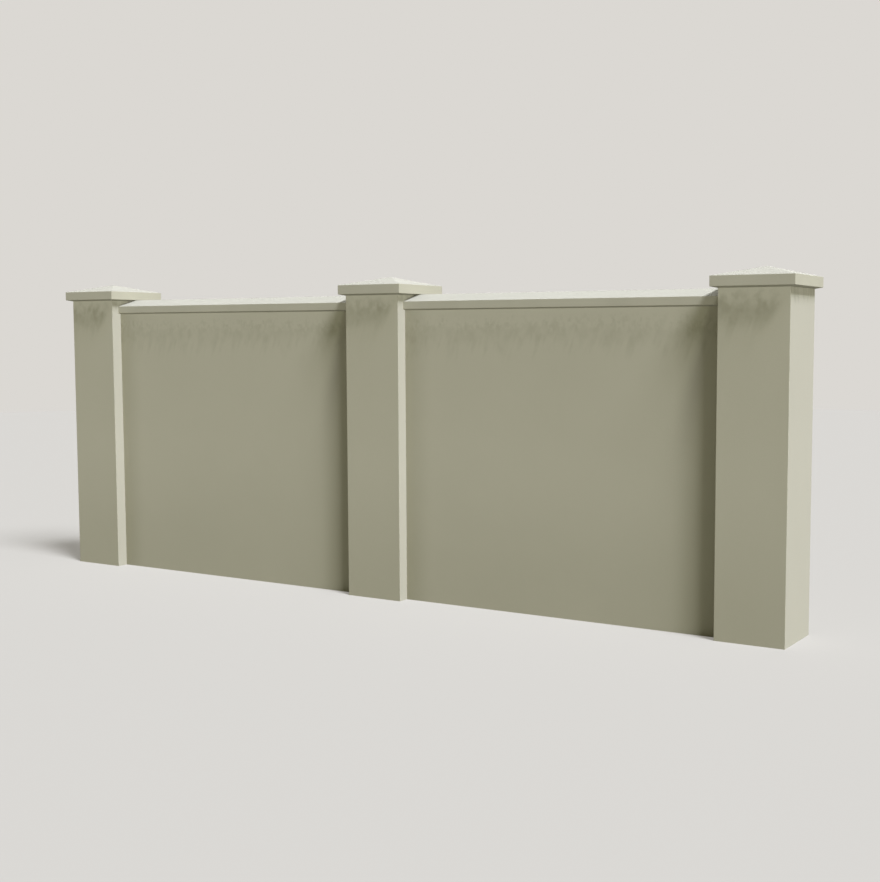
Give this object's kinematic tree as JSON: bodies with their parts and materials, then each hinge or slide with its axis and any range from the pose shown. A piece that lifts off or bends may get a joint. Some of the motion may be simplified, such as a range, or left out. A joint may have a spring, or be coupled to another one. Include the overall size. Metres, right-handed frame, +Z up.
{
  "type": "rendered garden wall with pillars",
  "caption": "Free-standing rendered masonry wall in bays, with square pillars under low pyramid caps and panels under a ridged coping.",
  "frame": {"origin": "on the ground, at the middle of the wall's length and thickness, which is the centre of the middle pillar's base", "axes": "+X along the wall to the right seen from the front, +Y through the wall to the back, +Z up"},
  "size_m": [5.432, 0.47, 2.02],
  "materials": {
    "render": "smooth grey-olive cement render, matt, with soft water stains",
    "casting": "smooth cast concrete, matt, weathered to the colour of the render"
  },
  "bodies": {
    "root": {"pillar_1": "render", "pillar_2": "render", "pillar_3": "render", "wall_panel_1": "render", "wall_panel_2": "render", "coping_1": "casting", "coping_2": "casting", "cap_1": "casting", "cap_2": "casting", "cap_3": "casting"}
  },
  "joints": []
}
